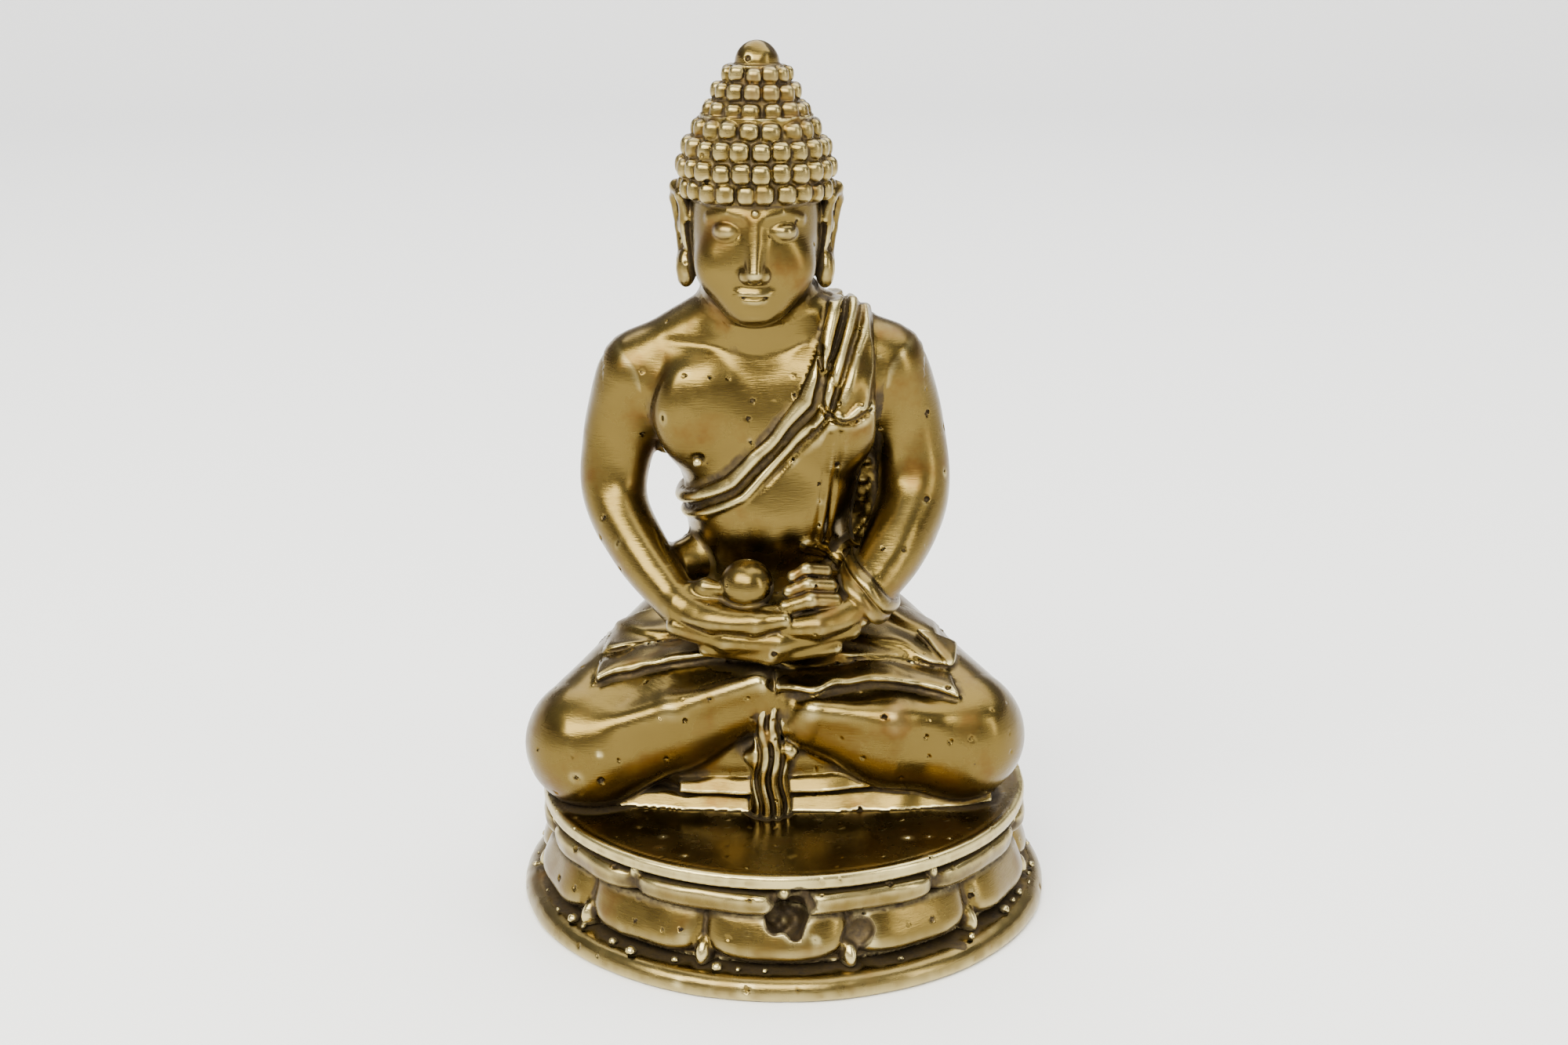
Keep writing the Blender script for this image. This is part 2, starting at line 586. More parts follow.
bead_shifts = rng.uniform(-1, 1, (16, 64, 3)).astype(np.float32)


def bead_row(h, height, radius, row, size=BEAD):
    """The nearest bead of one row of curls round the head, behind and in front."""
    around = radius - 0.9 * size
    count = int(2 * math.pi * around / (1.76 * size))
    angle = np.arctan2((h[:, 1] - HEAD_DEPTH) / DEEPER, h[:, 0])
    place = angle / (2 * math.pi) * count + 0.5 * (row % 2)
    nearest = np.round(place)
    shift = bead_shifts[row, nearest.astype(int) % count]
    turn = (nearest - 0.5 * (row % 2) + 0.12 * shift[:, 0]) / count * 2 * math.pi
    x, y = around * np.cos(turn), HEAD_DEPTH + DEEPER * around * np.sin(turn)
    centre = np.stack([x, y, height + 0.12 * shift[:, 1]], axis=1)
    away = np.abs(h - centre)
    return (away**2.6).sum(axis=1) ** (1 / 2.6) - size * (0.95 + 0.06 * shift[:, 2])


def turned_cap(h, rows, below, above):
    """The smooth core under rows of curls."""
    heights = [rows[0][0] - 2.0] + [z for z, _ in rows]
    radii = [rows[0][1] - 1.0] + [r - 1.0 for _, r in rows]
    radius = smooth_curve(h[:, 2], heights, radii)
    k = np.hypot(h[:, 0], (h[:, 1] - HEAD_DEPTH) / DEEPER)
    return np.maximum(np.maximum(k - radius, below - h[:, 2]), h[:, 2] - above)


def hair_cap(h):
    """Tight round curls over the skull, down to the nape behind the ears."""
    d = turned_cap(h, HAIR_ROWS, HAIR_LINE, 96.4)
    for row, (height, radius) in enumerate(HAIR_ROWS):
        d = join(d, bead_row(h, height, radius, row), 0.3)
    behind = 1.6 - h[:, 1]
    nape = egg(h, (0, 0.8, 84.0), (7.8, 8.9, 9.2))
    nape = np.maximum(np.maximum(nape, behind), 77.6 - h[:, 2])
    for row, (height, radius) in enumerate(NAPE_ROWS):
        beads = bead_row(h, height, radius, 4 + row)
        nape = join(nape, np.maximum(beads, behind - 0.6), 0.18)
    return np.minimum(d, nape)


def ushnisha(h):
    """The raised crown: smaller curls in rows, and a smooth tip."""
    d = turned_cap(h, CROWN_ROWS, 95.4, 102.0)
    for row, (height, radius) in enumerate(CROWN_ROWS):
        d = join(d, bead_row(h, height, radius, 8 + row, 1.2 - 0.06 * row), 0.3)
    tip = bone(h, (0, HEAD_DEPTH, 100.3), (0, HEAD_DEPTH, 102.2), 3.7, 2.55)
    return join(d, tip + 0.12 * wobble(h, 1.6, 8.0), 0.35)


# ---------------------------------------------------------------- base


def round_base(p):
    """Radius and angle of points about the base's axis."""
    return np.hypot(p[:, 0], p[:, 1]), np.arctan2(p[:, 1], p[:, 0])


def petal_ring(p, count, first, centre_radius, centre_height, radii, power=2.5, lean=0.0):
    """The nearest petal of a ring: a pillow that bulges outwards, leaning back by lean."""
    r, angle = round_base(p)
    pitch = 2 * math.pi / count
    turn = np.round((angle - first) / pitch) * pitch + first
    out = r * np.cos(angle - turn) - centre_radius
    across = r * np.sin(angle - turn)
    up = p[:, 2] - centre_height
    out = out + lean * up
    sides = zip((out, across, up), radii)
    k = sum(np.abs(side / radius) ** power for side, radius in sides) ** (1 / power)
    return (k - 1) * min(radii)


ledge_shifts = rng.uniform(0, 1, (72, 3)).astype(np.float32)


def ledge_beads(p):
    """Small uneven beads of metal left on the ledge round the foot of the petals."""
    count = len(ledge_shifts)
    _, angle = round_base(p)
    nearest = np.round(angle / (2 * math.pi) * count)
    shift = ledge_shifts[nearest.astype(int) % count]
    turn = (nearest + 0.5 * (shift[:, 0] - 0.5)) / count * 2 * math.pi
    reach = 30.7 + 0.9 * shift[:, 1]
    height = np.full_like(turn, PLINTH_TOP + 0.1)
    centre = np.stack([reach * np.cos(turn), reach * np.sin(turn), height], axis=1)
    return np.linalg.norm(p - centre, axis=1) - 0.2 - 0.65 * shift[:, 2] ** 2


def plinth(p):
    """The lowest ring: a flat foot and a rounded rim that slopes up to the petals."""
    r, _ = round_base(p)
    slope = p[:, 2] - PLINTH_TOP + 0.10 * np.maximum(r - 29.5, 0)
    d = cut(r - PLINTH_RADIUS + 0.04, slope, 1.9)
    d = cut(d, 0.02 - p[:, 2], 0.9)
    return carve(d, r - HOLLOW_RADIUS, 0.3)


def lower_lotus(p):
    """Big bulging petals with small buds between them."""
    r, _ = round_base(p)
    first = FRONT - math.radians(1.8)
    core = cut(r - smooth_curve(p[:, 2], (2, 5, 9.5), (29.6, 28.0, 25.8)), np.abs(p[:, 2] - 6) - 6, 0.5)
    petals = petal_ring(p, LOWER_PETALS, first, 23.6, 7.3, (6.6, 8.6, 4.1), 3.2, 0.42)
    buds = petal_ring(p, LOWER_PETALS, first + math.pi / LOWER_PETALS, 28.9, 4.3, (2.0, 1.1, 1.9), 2.0, 0.3)
    buds = join(buds, ledge_beads(p), 0.2)
    d = join(join(core, petals, 0.3), buds, 0.25)
    d = np.maximum(np.maximum(d, PLINTH_TOP - p[:, 2]), p[:, 2] - LOWER_TOP)
    return carve(d, r - HOLLOW_RADIUS, 0.3)


def upper_lotus(p):
    """Flat petals that turn out under the seat, with a bud in each notch."""
    r, _ = round_base(p)
    first = FRONT + math.pi / UPPER_PETALS
    core = r - smooth_curve(p[:, 2], (8.5, 11, 13), (26.2, 27.4, 28.9))
    petals = petal_ring(p, UPPER_PETALS, first, 24.4, 10.7, (5.7, 9.5, 1.9), 3.4, -0.12)
    buds = petal_ring(p, UPPER_PETALS, first + math.pi / UPPER_PETALS, 28.2, 12.1, (1.7, 0.9, 1.1), 2.0)
    d = join(join(core, petals, 0.3), buds, 0.25)
    d = np.maximum(np.maximum(d, LOWER_TOP - p[:, 2]), p[:, 2] - UPPER_TOP)
    return carve(d, r - HOLLOW_RADIUS, 0.3)


def seat(p):
    """The round slab, with a worn lip round its polished top."""
    r, _ = round_base(p)
    middle, half = (SEAT_TOP + UPPER_TOP) / 2, (SEAT_TOP - UPPER_TOP) / 2
    d = cut(r - SEAT_RADIUS, np.abs(p[:, 2] - middle) - half, 0.6)
    d = d + 0.10 * bump(r - 29.0, 0.28) * step(p[:, 2], middle, SEAT_TOP)
    return carve(d, r - SCREW_RADIUS, 0.1)


BASE = {"plinth_ring": plinth, "lower_lotus": lower_lotus, "upper_lotus": upper_lotus, "seat_slab": seat}
BASE_CHIPS = (
    ((0.4, -28.8, 9.2), 2.7),
    ((2.0, -29.8, 11.4), 1.3),
    ((-1.6, -31.0, 9.0), 1.2),
    ((8.6, -30.2, 7.0), 1.4),
    ((8.4, -28.6, 6.8), 1.6),
    ((-17.6, -25.2, 9.8), 1.0),
    ((-25.6, -18.6, 9.2), 0.9),
    ((20.4, -24.4, 4.0), 1.1),
)


def chips(p):
    """Distance from the holes that the casting left in the petals."""
    d = np.min([ball(p, centre, size) for centre, size in BASE_CHIPS], axis=0)
    return d + 0.8 * wobble(p, 1.5, 4.0)


def tier(name, p):
    """One tier of the base with its casting holes."""
    d = BASE[name](p)
    return carve(d, chips(p), 0.3) if name in ("lower_lotus", "upper_lotus") else d


def relief(p, d):
    """The uneven surface that casting and hand polishing leave."""
    d = d + 0.065 * wobble(p, 5.2) + 0.022 * wobble(p, 1.7, 20.0)
    return carve(d, pits(p), 0.12)


def base_field(name, p):
    """One tier of the base with its casting marks, kept flat where it meets its neighbours."""
    d = tier(name, p)
    low, high = BASE_PLANES[name]
    inward = np.minimum(step(p[:, 2], low, low + 0.5), step(-p[:, 2], -high, -high + 0.5))
    if name == "seat_slab":
        inward = np.maximum(inward, 0.45 * step(p[:, 2], high - 0.9, high - 0.3))
    rough = relief(p, d)
    outside = step(np.hypot(p[:, 0], p[:, 1]), HOLLOW_RADIUS + 0.5, HOLLOW_RADIUS + 1.5)
    return d + (rough - d) * inward * (outside if name != "seat_slab" else 1.0)


BASE_PLANES = {
    "plinth_ring": (0.0, PLINTH_TOP + 0.4),
    "lower_lotus": (PLINTH_TOP, LOWER_TOP),
    "upper_lotus": (LOWER_TOP, UPPER_TOP),
    "seat_slab": (UPPER_TOP, SEAT_TOP),
}


# ---------------------------------------------------------------- the whole figure

FIGURE = [
    "legs",
    "lap_apron",
    "hem_fan",
    "torso",
    "robe",
    "right_arm",
    "left_arm",
    "right_hand",
    "left_hand",
    "jewel",
    "sash",
    "head",
    "hair_cap",
    "ushnisha",
    "right_ear",
    "left_ear",
]
BOXES = {name: field_box(name) for name in FIGURE}
JEWEL_BOX = [to_figure(corner[None, :])[0] for corner in BOXES["jewel"]]


def near(p, names):
    """Which points are close enough to the nodes' boxes to be worth working out."""
    low = np.min([BOXES[name][0] for name in names], axis=0) - CULL_MARGIN
    high = np.max([BOXES[name][1] for name in names], axis=0) + CULL_MARGIN
    return np.all((p > low) & (p < high), axis=1)


def put(p, q, names, function, *fields):
    """The function's value at the points near the nodes, and FAR elsewhere."""
    d = np.full(len(p), FAR, dtype=np.float32)
    mask = near(p, names)
    if mask.any():
        d[mask] = np.minimum(function(q[mask], *(f[mask] for f in fields)), FAR)
    return d


def figure_fields(p):
    """Each figure piece's own field, in FIGURE's order."""
    q = to_figure(p)
    h = to_head(q)
    bare = put(p, q, ["torso", "robe"], trunk)
    leg = put(p, q, ["legs", "lap_apron"], legs)
    right = put(p, q, ["right_arm"], right_arm)
    left = put(p, q, ["left_arm"], left_arm)
    under = join(join(np.minimum(right, left), bare, 1.0), leg, 1.0)
    fields = {
        "legs": leg,
        "lap_apron": put(p, q, ["legs", "lap_apron"], apron, join(leg, bare, 1.0)),
        "hem_fan": put(p, q, ["hem_fan"], fan),
        "torso": put(p, q, ["torso"], bare_chest),
        "robe": put(p, q, ["torso", "robe"], robe, bare),
        "right_arm": right,
        "left_arm": left,
        "right_hand": put(p, q, ["right_hand"], right_hand),
        "left_hand": put(p, q, ["left_hand"], left_hand),
        "jewel": put(p, q, ["jewel"], jewel),
        "sash": put(p, q, ["sash"], sash, under),
        "head": put(p, h, ["head"], head),
        "hair_cap": put(p, h, ["hair_cap"], hair_cap),
        "ushnisha": put(p, h, ["ushnisha"], ushnisha),
        "right_ear": put(p, h, ["right_ear"], lambda v: ear(v, -1)),
        "left_ear": put(p, h, ["left_ear"], lambda v: ear(v, 1)),
    }
    return np.array([fields[name] for name in FIGURE])


def blend_figure(p, d):
    """All of the figure as one cast surface: soft where limbs meet, creased elsewhere."""
    f = dict(zip(FIGURE, d))
    body = join(f["torso"], f["right_arm"], 2.6)
    body = join(body, f["left_arm"], 2.6)
    body = join(body, f["head"], 2.0)
    body = join(body, f["legs"], 1.6)
    body = join(body, f["robe"], 0.3)
    hands = join(f["right_hand"], f["left_hand"], 0.25)
    body = join(body, hands, 0.8)
    for name in ("lap_apron", "hem_fan", "jewel", "sash", "hair_cap", "ushnisha", "right_ear", "left_ear"):
        body = join(body, f[name], CREASE)
    face = step(-ball(to_head(to_figure(p)), (0, -9.0, 80.5), 7.5), 0.0, 1.5)
    rough = relief(p, body)
    rough = rough + (body - rough) * face
    return np.maximum(rough, SEAT_TOP - p[:, 2])


def piece_fields(name, p):
    """The cast surface, and the field that parts this piece from the ones beside it."""
    if name in BASE:
        return base_field(name, p), np.full(len(p), -FAR, dtype=np.float32)
    d = figure_fields(p)
    i = FIGURE.index(name)
    others = np.min(np.delete(d, i, axis=0), axis=0)
    return blend_figure(p, d), (d[i] - others) / 2


# ---------------------------------------------------------------- from field to mesh


def in_blocks(p, function, size=400_000):
    """The function over many points, a block at a time."""
    parts = [function(p[i : i + size]) for i in range(0, len(p), size)]
    return [np.concatenate(column) for column in zip(*parts)]


def sample(name, low, high, spacing):
    """The piece's field on a grid, worked out in full only near the surface."""
    block = 6
    shape = (np.ceil((high - low) / spacing / block).astype(int) + 1) * block
    grid = np.full(shape, 1.0, dtype=np.float32)
    starts = [np.arange(0, n, block) for n in shape]
    corners = np.stack(np.meshgrid(*starts, indexing="ij"), axis=-1).reshape(-1, 3)
    centres = (low + (corners + block / 2) * spacing).astype(np.float32)
    surface, part = in_blocks(centres, lambda v: piece_fields(name, v))
    value = np.maximum(surface, part)
    reach = 0.87 * block * spacing * 1.35 + 0.35
    for corner in corners[value < -reach]:
        grid[tuple(slice(c, c + block) for c in corner)] = -1.0
    close = corners[np.abs(value) <= reach]
    offsets = np.stack(np.meshgrid(*[np.arange(block)] * 3, indexing="ij"), axis=-1).reshape(-1, 3)
    index = (close[:, None, :] + offsets[None, :, :]).reshape(-1, 3)
    points = (low + index * spacing).astype(np.float32)
    surface, part = in_blocks(points, lambda v: piece_fields(name, v))
    grid[tuple(index.T)] = np.maximum(surface, part)
    grid[0], grid[-1], grid[:, 0], grid[:, -1], grid[:, :, 0], grid[:, :, -1] = 1, 1, 1, 1, 1, 1
    return grid


def surface_net(grid):
    """Quads over the zero surface of a grid, with vertices in grid units."""
    inside = grid < 0
    shape = np.array(grid.shape)
    strides = np.array([shape[1] * shape[2], shape[2], 1])
    cells, crossings, quads = [], [], []
    for axis in range(3):
        a = [slice(None)] * 3
        b = [slice(None)] * 3
        a[axis], b[axis] = slice(0, -1), slice(1, None)
        change = inside[tuple(a)] != inside[tuple(b)]
        at = np.argwhere(change)
        va = grid[tuple(a)][change]
        vb = grid[tuple(b)][change]
        point = at.astype(np.float32)
        point[:, axis] += va / (va - vb)
        u, v = (axis + 1) % 3, (axis + 2) % 3
        base = at @ strides
        around = [base, base - strides[u], base - strides[u] - strides[v], base - strides[v]]
        for ring in around:
            cells.append(ring)
            crossings.append(point)
        quad = np.stack(around, axis=1)
        flip = va > 0
        quad[flip] = quad[flip][:, ::-1]
        quads.append(quad)
    cells, crossings, quads = np.concatenate(cells), np.concatenate(crossings), np.concatenate(quads)
    used, compact = np.unique(cells, return_inverse=True)
    count = np.bincount(compact, minlength=len(used))
    columns = [np.bincount(compact, crossings[:, i], len(used)) / count for i in range(3)]
    vertices = np.stack(columns, axis=1)
    return vertices, np.searchsorted(used, quads)


def gradient(name, p, reach):
    """Value and slope of both fields at points."""
    corners = np.array([(1, -1, -1), (-1, -1, 1), (-1, 1, -1), (1, 1, 1)], dtype=np.float32)
    slopes, values = [0, 0], [0, 0]
    for corner in corners:
        pair = in_blocks((p + reach * corner).astype(np.float32), lambda v: piece_fields(name, v))
        for k in (0, 1):
            slopes[k] = slopes[k] + pair[k][:, None] * corner / (4 * reach)
            values[k] = values[k] + pair[k] / 4
    return values, slopes


def settle(name, p, spacing):
    """Moves vertices onto the true surface, and onto the true edge where two pieces part."""
    reach = 0.25 * spacing
    limit = 0.6 * spacing
    for turn in range(2):
        (value, part), (slope, part_slope) = gradient(name, p, reach)
        steep = (slope * slope).sum(1) + 1e-3
        move = -(value / steep)[:, None] * slope
        move[part > value + limit] = 0
        rim = (np.abs(part) < 0.8 * spacing) & (np.abs(value) < 0.8 * spacing)
        part_steep = (part_slope * part_slope).sum(1) + 1e-3
        move[rim] -= ((part / part_steep)[:, None] * part_slope)[rim]
        size = np.linalg.norm(move, axis=1, keepdims=True) + 1e-9
        p = p + move * np.minimum(1, limit / size)
    outer = part < value + 0.3 * spacing
    return p, slope / (np.linalg.norm(slope, axis=1, keepdims=True) + 1e-9), outer


def build_mesh(name, vertices, quads, normal):
    """A Blender mesh from arrays, in metres."""
    mesh = bpy.data.meshes.new(name)
    mesh.vertices.add(len(vertices))
    mesh.vertices.foreach_set("co", (vertices * METRES).astype(np.float32).ravel())
    mesh.loops.add(4 * len(quads))
    mesh.loops.foreach_set("vertex_index", quads.astype(np.int32).ravel())
    mesh.polygons.add(len(quads))
    mesh.polygons.foreach_set("loop_start", np.arange(0, 4 * len(quads), 4, dtype=np.int32))
    mesh.update(calc_edges=True)
    mesh.validate()
    mesh.shade_smooth()
    mesh.normals_split_custom_set_from_vertices(normal)
    return mesh


# ---------------------------------------------------------------- how worn or dark each place is

SHADE_STEP = 0.6
shade_low = np.array([-PLINTH_RADIUS - 6, -PLINTH_RADIUS - 6, -3.0])
shade_high = np.array([PLINTH_RADIUS + 6, PLINTH_RADIUS + 6, field_box("ushnisha")[1][2] + 6])


def whole_field(p):
    """The figure and the base together, without casting marks."""
    d = figure_fields(p)
    body = np.min(d, axis=0)
    for name in BASE:
        body = np.minimum(body, tier(name, p))
    return (body,)


def shade_grid():
    """The whole statue's field on a coarse grid, for measuring how open each place is."""
    shape = np.ceil((shade_high - shade_low) / SHADE_STEP).astype(int)
    index = np.stack(np.meshgrid(*(np.arange(n) for n in shape), indexing="ij"), axis=-1).reshape(-1, 3)
    points = (shade_low + index * SHADE_STEP).astype(np.float32)
    return in_blocks(points, whole_field)[0].reshape(shape)


def look_up(grid, p):
    """The grid's value at points, smoothly between its nodes."""
    q = np.clip((p - shade_low) / SHADE_STEP, 0, np.array(grid.shape) - 1.001)
    cell = q.astype(int)
    f = q - cell
    total = 0
    for dx in (0, 1):
        for dy in (0, 1):
            for dz in (0, 1):
                weight = np.abs(1 - dx - f[:, 0]) * np.abs(1 - dy - f[:, 1]) * np.abs(1 - dz - f[:, 2])
                total = total + weight * grid[cell[:, 0] + dx, cell[:, 1] + dy, cell[:, 2] + dz]
    return total


def openness(grid, p, normal):
    """1 on open metal, falling towards 0 deep in a crease."""
    total = 0
    for distance, share in ((0.7, 0.2), (1.4, 0.3), (2.6, 0.3), (4.2, 0.2)):
        total = total + share * np.clip(look_up(grid, p + distance * normal) / distance, 0, 1)
    return total


def roundness(mesh, normal, outer, rounds):
    """How strongly the cast surface bulges (positive) or dips (negative) at each vertex."""
    count = len(mesh.vertices)
    edges = np.empty(2 * len(mesh.edges), dtype=np.int32)
    mesh.edges.foreach_get("vertices", edges)
    a, b = edges.reshape(-1, 2).T
    cast = outer[a] & outer[b]
    a, b = a[cast], b[cast]
    place = np.empty(3 * count, dtype=np.float32)
    mesh.vertices.foreach_get("co", place)
    place = place.reshape(-1, 3) / METRES
    degree = np.maximum(np.bincount(a, minlength=count) + np.bincount(b, minlength=count), 1)

    def mean(values):
        return (np.bincount(a, values[b], count) + np.bincount(b, values[a], count)) / degree

    centre = np.stack([mean(place[:, i]) for i in range(3)], axis=1)
    bulge = ((place - centre) * normal).sum(1) * outer
    for _ in range(rounds):
        bulge = 0.4 * bulge + 0.6 * mean(bulge)
    return bulge


def paint(mesh, name, values):
    """Stores one number per vertex for the materials."""
    layer = mesh.attributes.new(name, "FLOAT", "POINT")
    layer.data.foreach_set("value", values.astype(np.float32))


def sculpt(name, spacing, grid):
    """The finished mesh object of one node."""
    low, high = field_box(name)
    start = low - ROOM
    cells = sample(name, start, high + ROOM, spacing)
    vertices, quads = surface_net(cells)
    vertices = (start + vertices * spacing).astype(np.float32)
    vertices, normal, outer = settle(name, vertices, spacing)
    mesh = build_mesh(name + "_cast", vertices, quads, normal)
    bulge = roundness(mesh, normal, outer, 6) / spacing
    paint(mesh, "open", openness(grid, vertices, normal) * outer * step(chips(vertices), 0.1, 0.6))
    paint(mesh, "bulge", bulge)
    piece = bpy.data.objects.new(name + "_cast", mesh)
    bpy.context.scene.collection.objects.link(piece)
    return piece


# ---------------------------------------------------------------- materials


class Surface:
    """A material, and short ways to add and wire its nodes."""

    def __init__(self, name):
        self.material = bpy.data.materials.new(name)
        self.material.use_nodes = True
        self.nodes = self.material.node_tree.nodes
        self.join = self.material.node_tree.links.new
        self.inputs = self.nodes["Principled BSDF"].inputs

    def feed(self, socket, value):
        """A number, a colour or another node's output into a socket."""
        if isinstance(value, (int, float)):
            socket.default_value = value
        elif isinstance(value, tuple):
            socket.default_value = (*value, 1)
        else:
            self.join(value, socket)

    def coordinates(self):
        return self.nodes.new("ShaderNodeTexCoord").outputs["Object"]

    def stored(self, name):
        """A number that paint() left on the mesh."""
        node = self.nodes.new("ShaderNodeAttribute")
        node.attribute_name = name
        return node.outputs["Fac"]

    def noise(self, coordinates, scale, detail, roughness):
        node = self.nodes.new("ShaderNodeTexNoise")
        node.inputs["Scale"].default_value = scale
        node.inputs["Detail"].default_value = detail
        node.inputs["Roughness"].default_value = roughness
        self.join(coordinates, node.inputs["Vector"])
        return node.outputs["Fac"]

    def ramp(self, source, low, high, flip=False):
        """Maps a range of the source onto 0 to 1."""
        node = self.nodes.new("ShaderNodeMapRange")
        node.interpolation_type = "SMOOTHSTEP"
        node.inputs["From Min"].default_value = high if flip else low
        node.inputs["From Max"].default_value = low if flip else high
        self.join(source, node.inputs["Value"])
        return node.outputs["Result"]

    def maths(self, operation, a, b):
        node = self.nodes.new("ShaderNodeMath")
        node.operation = operation
        node.use_clamp = operation != "MAXIMUM"
        self.feed(node.inputs[0], a)
        self.feed(node.inputs[1], b)
        return node.outputs["Value"]

    def times(self, a, b):
        return self.maths("MULTIPLY", a, b)

    def mix(self, factor, a, b):
        node = self.nodes.new("ShaderNodeMix")
        node.data_type = "RGBA"
        self.join(factor, node.inputs["Factor"])
        self.feed(node.inputs["A"], a)
        self.feed(node.inputs["B"], b)
        return node.outputs["Result"]


def brass_material():
    """Hand-polished brass: bright where it is rubbed, brown and rough in the creases."""
    look = Surface("cast_brass")
    coordinates = look.coordinates()
    opened = look.stored("open")
    bulge = look.stored("bulge")

    patches = look.noise(coordinates, 160.0, 4.0, 0.6)
    grain = look.noise(coordinates, 900.0, 5.0, 0.7)
    broad = look.noise(coordinates, 45.0, 3.0, 0.5)

    # Dirt gathers where the metal is closed in, and in hollows, with a ragged edge
    closed = look.ramp(opened, 0.06, 0.40, flip=True)
    hollow = look.ramp(bulge, -0.10, -0.012, flip=True)
    dirt = look.maths("ADD", closed, look.times(hollow, 0.65))
    ragged = look.times(look.ramp(grain, 0.3, 0.7), 0.3)
    dirt = look.maths("SUBTRACT", look.times(dirt, 1.45), ragged)
    speckle = look.times(look.ramp(grain, 0.66, 0.74), 0.35)
    speckle = look.times(speckle, look.ramp(patches, 0.45, 0.7))
    patina = look.maths("MAXIMUM", dirt, speckle)

    bright = look.mix(broad, (0.104, 0.069, 0.017), (0.148, 0.103, 0.029))
    bright = look.mix(look.ramp(patches, 0.5, 0.75), bright, (0.105, 0.055, 0.013))
    worn = look.ramp(bulge, 0.015, 0.10)
    bright = look.mix(worn, bright, (0.50, 0.41, 0.18))
    dark = look.mix(grain, (0.012, 0.009, 0.006), (0.065, 0.042, 0.020))
    look.join(look.mix(patina, bright, dark), look.inputs["Base Color"])

    metal = look.maths("SUBTRACT", 1.0, look.times(patina, 0.3))
    look.join(metal, look.inputs["Metallic"])
    smooth = look.times(look.ramp(patches, 0.35, 0.75), 0.14)
    rough = look.maths("ADD", look.times(patina, 0.42), 0.22)
    look.join(look.maths("ADD", rough, smooth), look.inputs["Roughness"])

    # Fine scratches run one way, over small dents
    mapping = look.nodes.new("ShaderNodeMapping")
    mapping.inputs["Rotation"].default_value = (0.4, 0.5, 0.3)
    mapping.inputs["Scale"].default_value = (1.0, 1.0, 9.0)
    look.join(coordinates, mapping.inputs["Vector"])
    scratches = look.noise(mapping.outputs["Vector"], 700.0, 2.0, 0.6)
    height = look.times(scratches, 0.16)
    dents = look.times(patches, 0.55)
    height = look.maths("ADD", height, look.times(dents, 0.6))
    height = look.maths("ADD", height, 0.3)
    height = look.maths("SUBTRACT", height, look.times(patina, 0.25))
    bump_map = look.nodes.new("ShaderNodeBump")
    bump_map.inputs["Strength"].default_value = 0.55
    bump_map.inputs["Distance"].default_value = 0.00022
    look.join(height, bump_map.inputs["Height"])
    look.join(bump_map.outputs["Normal"], look.inputs["Normal"])
    return look.material


def steel_material():
    """Dull zinc-plated steel."""
    look = Surface("zinc_steel")
    coordinates = look.coordinates()
    grain = look.noise(coordinates, 700.0, 4.0, 0.6)
    look.join(look.mix(grain, (0.36, 0.36, 0.37), (0.58, 0.58, 0.60)), look.inputs["Base Color"])
    look.inputs["Metallic"].default_value = 1.0
    look.join(look.ramp(grain, -1.0, 2.2), look.inputs["Roughness"])
    return look.material


def floor_material():
    """Plain pale floor."""
    look = Surface("pale_floor")
    look.inputs["Base Color"].default_value = (0.86, 0.86, 0.86, 1)
    look.inputs["Roughness"].default_value = 0.9
    return look.material


# ---------------------------------------------------------------- stage, lights and camera


def add_stage():
    """A round floor that curves up into a low wall all the way round."""
    flat, bend, top, turns = 1.15, 0.35, 0.42, 96
    rings = [(0.3, 0.0), (flat, 0.0)]
    slopes = [math.radians(9 * i) for i in range(1, 11)]
    rings += [(flat + bend * math.sin(a), bend - bend * math.cos(a)) for a in slopes]
    rings.append((flat + bend, top))
    vertices = [(0.0, 0.0, 0.0)]
    angles = [2 * math.pi * i / turns for i in range(turns)]
    for r, z in rings:
        vertices += [(r * math.cos(a), r * math.sin(a), z) for a in angles]
    faces = [(0, 1 + i, 1 + (i + 1) % turns) for i in range(turns)]
    for ring in range(len(rings) - 1):
        low, high = 1 + ring * turns, 1 + (ring + 1) * turns
        faces += [(low + i, high + i, high + (i + 1) % turns, low + (i + 1) % turns) for i in range(turns)]
    mesh = bpy.data.meshes.new("studio_floor")
    mesh.from_pydata(vertices, [], faces)
    mesh.shade_smooth()
    floor = bpy.data.objects.new("studio_floor", mesh)
    floor.data.materials.append(floor_material())
    bpy.context.scene.collection.objects.link(floor)


def add_light(name, place, target, size, power, colour=(1, 1, 1)):
    """A soft rectangular lamp aimed at a point."""
    lamp = bpy.data.lights.new(name, "AREA")
    lamp.shape = "RECTANGLE"
    lamp.size, lamp.size_y = size
    lamp.energy = power
    lamp.color = colour
    thing = bpy.data.objects.new(name, lamp)
    thing.location = place
    aim = np.array(target) - np.array(place)
    thing.rotation_euler = direction(aim)
    bpy.context.scene.collection.objects.link(thing)


def direction(aim):
    """The Euler turn that points an object's -Z along aim."""
    return Vector([float(a) for a in aim]).to_track_quat("-Z", "Y").to_euler()


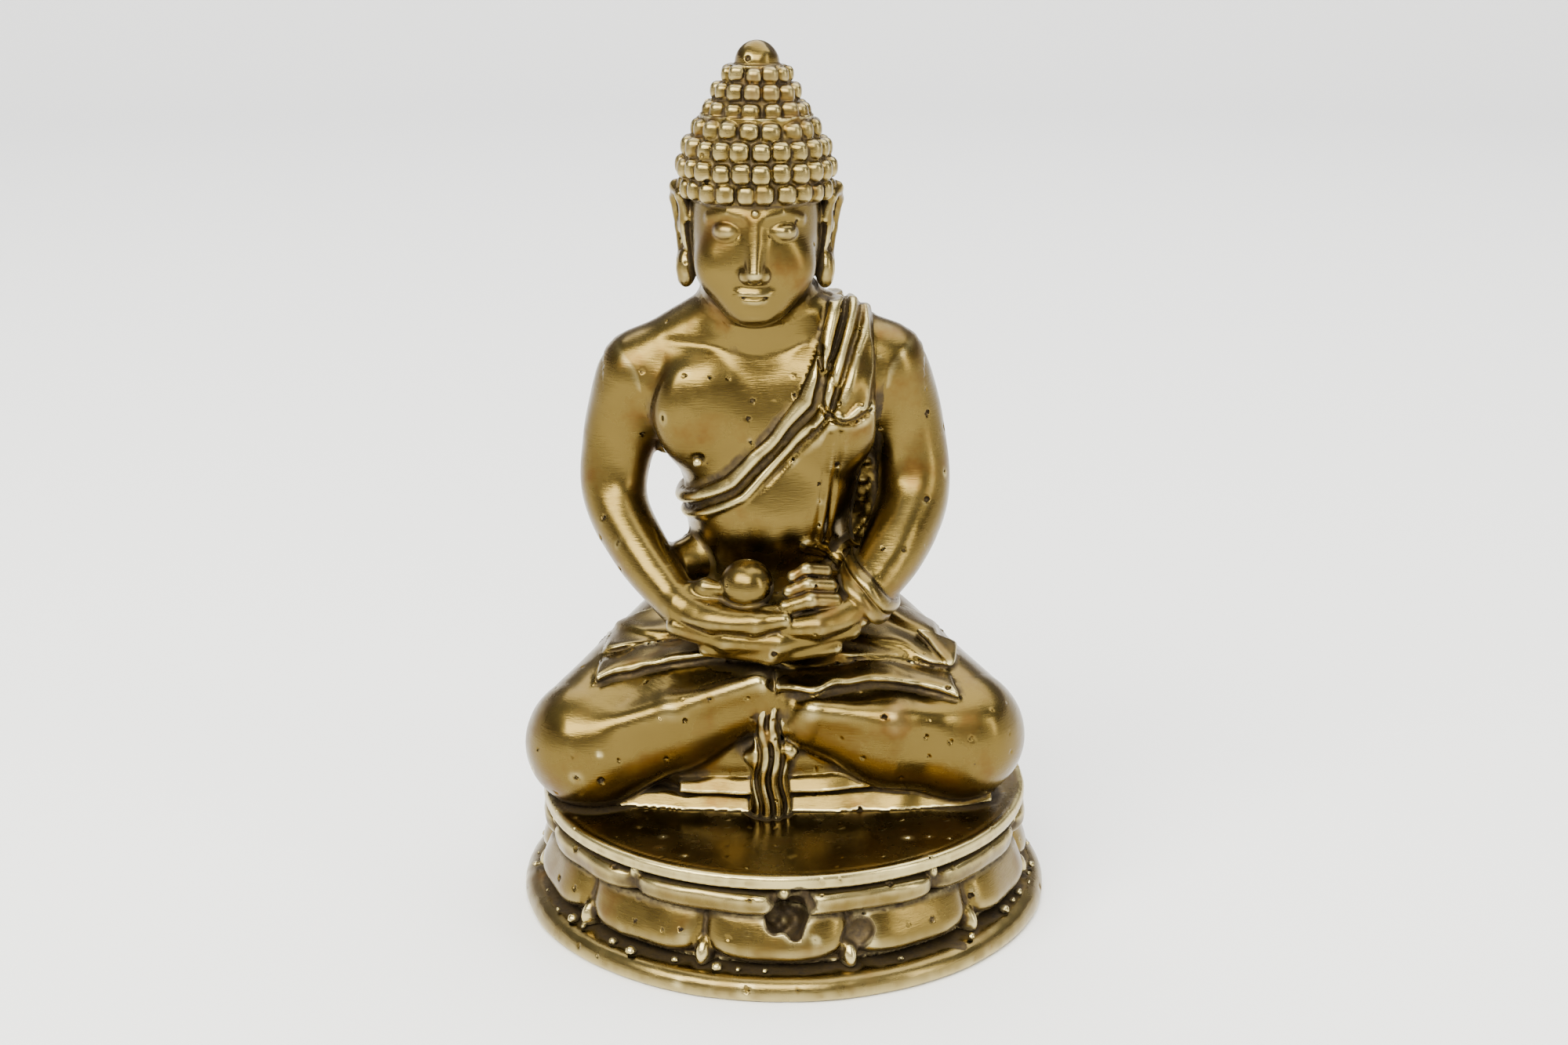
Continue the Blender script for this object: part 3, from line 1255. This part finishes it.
def add_world():
    """Soft room light: cool above, warm and darker near the table."""
    world = bpy.data.worlds.new("studio")
    bpy.context.scene.world = world
    world.use_nodes = True
    nodes, links = world.node_tree.nodes, world.node_tree.links
    coordinates = nodes.new("ShaderNodeTexCoord")
    parts = nodes.new("ShaderNodeSeparateXYZ")
    links.new(coordinates.outputs["Generated"], parts.inputs["Vector"])
    ramp = nodes.new("ShaderNodeValToRGB")
    ramp.color_ramp.elements[0].position = 0.30
    ramp.color_ramp.elements[0].color = (0.07, 0.035, 0.012, 1)
    ramp.color_ramp.elements[1].position = 0.95
    ramp.color_ramp.elements[1].color = (0.85, 0.89, 0.94, 1)
    middle = ramp.color_ramp.elements.new(0.58)
    middle.color = (0.30, 0.125, 0.045, 1)
    upper = ramp.color_ramp.elements.new(0.76)
    upper.color = (0.62, 0.64, 0.62, 1)
    height = nodes.new("ShaderNodeMath")
    height.operation = "MULTIPLY_ADD"
    height.inputs[1].default_value = 0.5
    height.inputs[2].default_value = 0.5
    links.new(parts.outputs["Z"], height.inputs[0])
    links.new(height.outputs["Value"], ramp.inputs["Fac"])
    links.new(ramp.outputs["Color"], nodes["Background"].inputs["Color"])
    nodes["Background"].inputs["Strength"].default_value = 0.75


def add_camera():
    """The camera close in front and a little above, looking down at the figure."""
    base_width = plinth_high[0] - plinth_low[0]
    camera = bpy.data.cameras.new("camera")
    camera.lens = 47.0
    camera.sensor_width = 36.0
    camera.clip_start = 0.01
    thing = bpy.data.objects.new("camera", camera)
    thing.location = (0, -3.636 * base_width, 1.779 * base_width)
    thing.rotation_euler = (math.radians(90 - 16.3), 0, 0)
    bpy.context.scene.collection.objects.link(thing)
    bpy.context.scene.camera = thing


# ---------------------------------------------------------------- put together

STEPS = {name: BODY_STEP for name in FIGURE}
STEPS.update({name: BASE_STEP for name in BASE})
FINE = ("right_hand", "left_hand", "jewel", "sash", "hem_fan", "lap_apron")
STEPS.update({name: HAND_STEP for name in FINE})
STEPS.update({name: FACE_STEP for name in ("head", "ushnisha", "right_ear", "left_ear")})
STEPS.update({"legs": 1.12 * BODY_STEP, "hair_cap": 1.12 * FACE_STEP})


def add_brass():
    """Every brass piece, standing for its CAD node."""
    grid = shade_grid()
    brass = brass_material()
    for name in list(BASE) + FIGURE:
        piece = sculpt(name, STEPS[name], grid)
        piece.data.materials.append(brass)
        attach(piece, "root")
        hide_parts(name)


def dress_steel():
    """The screw and washer keep their CAD shape."""
    steel = steel_material()
    for name in ("fixing_screw", "washer"):
        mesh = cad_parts[name].data
        mesh.materials.clear()
        mesh.materials.append(steel)


add_camera()
add_world()
add_stage()
centre = (0.0, 0.0, 0.05)
add_light("window", (-0.25, -0.60, 0.70), centre, (1.1, 0.5), 28.0, (1.0, 0.98, 0.87))
add_light("overhead", (0.1, 0.55, 1.1), (0.0, 0.45, 0.0), (1.7, 1.2), 31.0)
add_light("side", (0.7, -0.40, 0.34), centre, (0.16, 0.5), 2.4, (1.0, 0.98, 0.86))
add_brass()
dress_steel()
